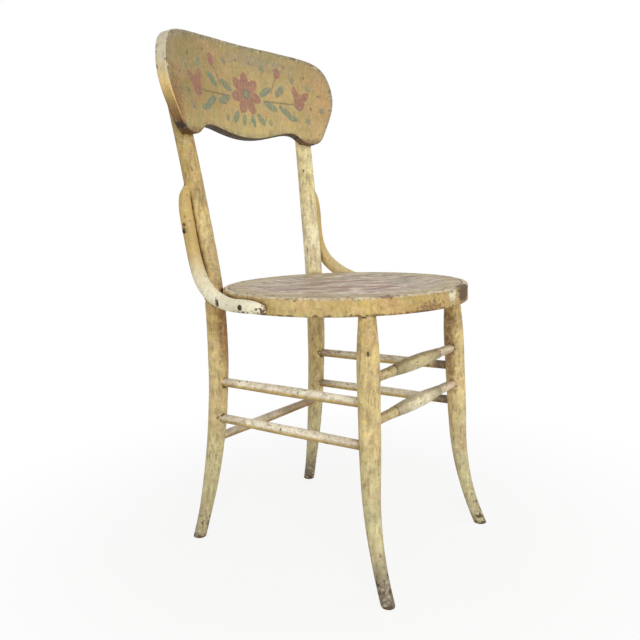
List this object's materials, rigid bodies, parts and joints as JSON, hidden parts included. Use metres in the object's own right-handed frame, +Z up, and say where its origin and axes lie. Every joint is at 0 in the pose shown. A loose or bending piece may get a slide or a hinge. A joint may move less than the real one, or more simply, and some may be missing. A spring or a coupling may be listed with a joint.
{
  "type": "stenciled painted side chair",
  "caption": "Painted wooden side chair with a round dished seat, bent rear posts and hip braces, curved legs, turned stretchers and a broad curved crest rail with a stencilled front.",
  "frame": {"origin": "on the floor, under the middle of the bounding box seen from above", "axes": "+Z is up, the chair faces -Y, and +X is the sitter's left"},
  "size_m": [0.4492, 0.4426, 0.8706],
  "materials": {
    "frame_paint": "aged cream and ochre paint, speckled, chipped at the edges and worn to bare wood at the feet",
    "rail_paint": "aged tan paint with a worn stencilled pattern and a dark line along the edge",
    "seat_paint": "streaky worn paint over veneer",
    "iron": "dark, aged and dull"
  },
  "bodies": {
    "root": {"bolt_nuts": "iron", "bolt_washers": "iron", "brace_post_screws": "iron", "brace_seat_screws": "iron", "crest_rail": "rail_paint", "crest_screws": "iron", "front_leg_left": "frame_paint", "front_leg_right": "frame_paint", "front_stretcher_lower": "frame_paint", "front_stretcher_upper": "frame_paint", "hip_brace_left": "frame_paint", "hip_brace_right": "frame_paint", "post_bolts": "iron", "rear_post_left": "frame_paint", "rear_post_right": "frame_paint", "rear_stretcher": "frame_paint", "seat_brads": "iron", "seat_frame": "frame_paint", "seat_panel": "seat_paint", "side_stretcher_lower_left": "frame_paint", "side_stretcher_lower_right": "frame_paint", "side_stretcher_upper_left": "frame_paint", "side_stretcher_upper_right": "frame_paint"}
  },
  "joints": []
}
